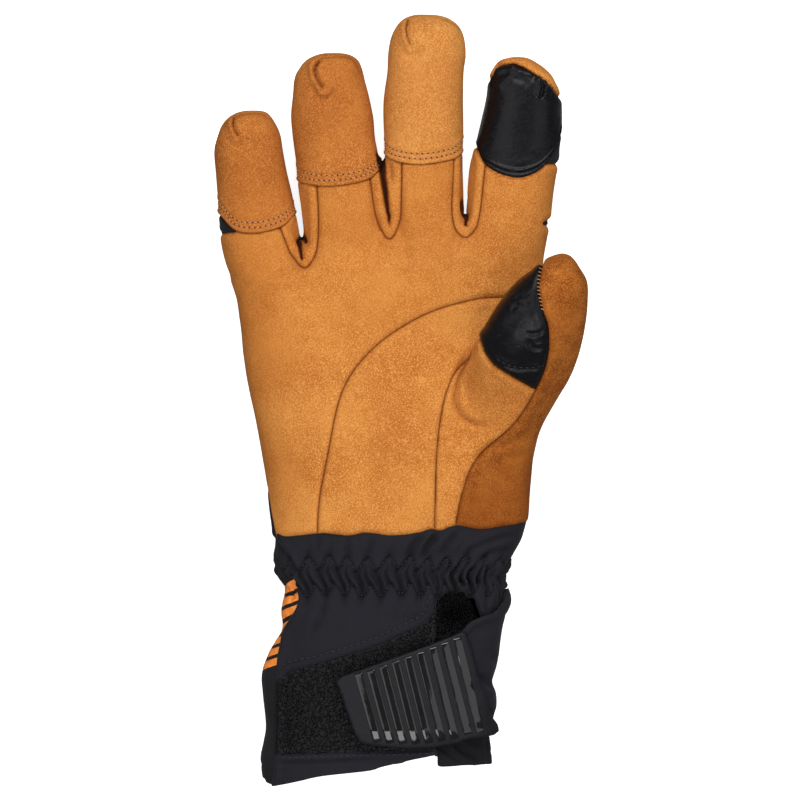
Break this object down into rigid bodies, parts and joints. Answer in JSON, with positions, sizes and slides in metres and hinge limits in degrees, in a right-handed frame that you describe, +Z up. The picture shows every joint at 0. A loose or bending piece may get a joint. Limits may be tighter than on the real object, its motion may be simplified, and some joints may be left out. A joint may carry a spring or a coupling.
{
  "type": "winter cycling glove",
  "caption": "Right-hand padded leather glove, palm up, with fingertip caps, touch patches, a drawn-in softshell cuff and a strap closed by a ribbed rubber tab.",
  "frame": {"origin": "on the surface that the glove lies on, under the middle of the back of the hand", "axes": "+Y along the fingers, +X towards the thumb, +Z up out of the palm"},
  "size_m": [0.1381, 0.2856, 0.0645],
  "materials": {
    "palm_leather": "matt tan goatskin with a fine grain and darker seam edges",
    "suede_leather": "brushed dark tan suede",
    "touch_leather": "smooth black leather with a soft gloss",
    "softshell": "matt black stretch softshell",
    "loop_pile": "fuzzy black loop pile",
    "grip_rubber": "black moulded rubber with glossy raised ribs"
  },
  "bodies": {
    "root": {"palm_panel": "palm_leather", "thenar_panel": "palm_leather", "thumb_front": "palm_leather", "fourchette_little_ring": "palm_leather", "fourchette_ring_middle": "palm_leather", "fourchette_middle_index": "palm_leather", "cap_little": "palm_leather", "cap_ring": "palm_leather", "cap_middle": "palm_leather", "cap_index_back": "palm_leather", "thumb_back": "suede_leather", "thumb_touch_patch": "touch_leather", "cap_index_front": "touch_leather", "back_panel": "softshell", "cuff_front": "softshell", "cuff_back": "softshell", "cuff_gusset": "softshell", "strap": "softshell", "loop_field": "loop_pile", "hook_pad": "loop_pile", "strap_tab": "grip_rubber"}
  },
  "joints": []
}
